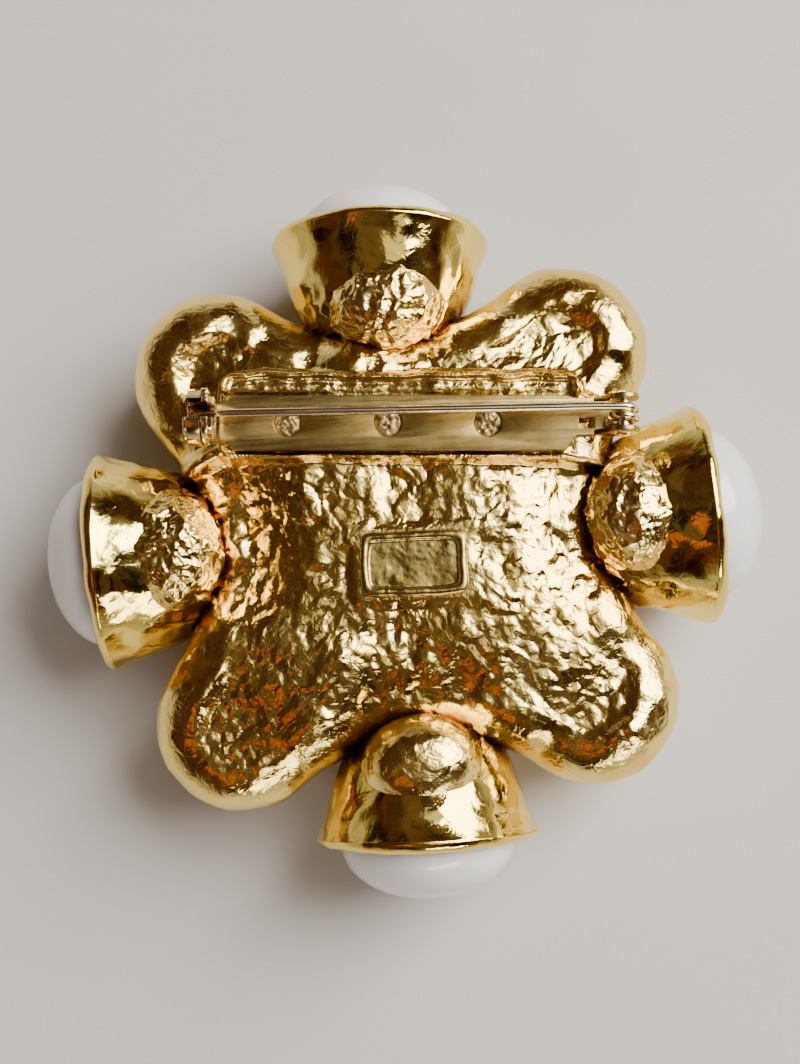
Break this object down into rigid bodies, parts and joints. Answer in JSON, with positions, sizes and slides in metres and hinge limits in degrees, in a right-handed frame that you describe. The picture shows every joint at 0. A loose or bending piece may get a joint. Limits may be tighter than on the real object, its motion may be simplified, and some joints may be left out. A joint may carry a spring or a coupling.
{
  "type": "brooch",
  "caption": "Quatrefoil gold-tone costume brooch with hammered lobes, a flared cup and pearl cabochon in each notch, and a bar pin with a rotating safety catch.",
  "frame": {"origin": "on the surface the brooch lies on, face down, below the centre of its box", "axes": "+Z out of the back of the brooch, +Y towards the cup above the pin, +X towards the pin's hinge"},
  "size_m": [0.0664, 0.0666, 0.0231],
  "materials": {
    "gold_plate": "polished, hammered",
    "bar_brass": "satin",
    "catch_gold": "polished",
    "finding_wire": "polished wire",
    "solder": "rough",
    "pearl": "pearlescent gloss",
    "cement": "matte"
  },
  "bodies": {
    "brooch": {"back_shell": "gold_plate", "front_shell": "gold_plate", "cup_east": "gold_plate", "cup_boss_east": "gold_plate", "pearl_east": "pearl", "pearl_cement_east": "cement", "cup_north": "gold_plate", "cup_boss_north": "gold_plate", "pearl_north": "pearl", "pearl_cement_north": "cement", "cup_west": "gold_plate", "cup_boss_west": "gold_plate", "pearl_west": "pearl", "pearl_cement_west": "cement", "cup_south": "gold_plate", "cup_boss_south": "gold_plate", "pearl_south": "pearl", "pearl_cement_south": "cement", "mark_plate": "gold_plate", "pin_bar": "bar_brass", "bar_solder": "solder", "hinge_rivet": "finding_wire", "catch_curl": "bar_brass"},
    "stem": {"pin_stem": "finding_wire"},
    "sleeve": {"catch_sleeve": "catch_gold"}
  },
  "joints": [
    {"name": "stem_hinge", "type": "hinge", "parent": "brooch", "child": "stem", "pos_m": [0.02022, 0.00836, 0.01975], "axis": [0.0802, 0.9968, 0], "range_deg": [0, 95]},
    {"name": "catch_turn", "type": "hinge", "parent": "brooch", "child": "sleeve", "pos_m": [-0.01684, 0.0109, 0.0207], "axis": [0.9968, -0.0802, 0], "range_deg": [0, 100]}
  ]
}
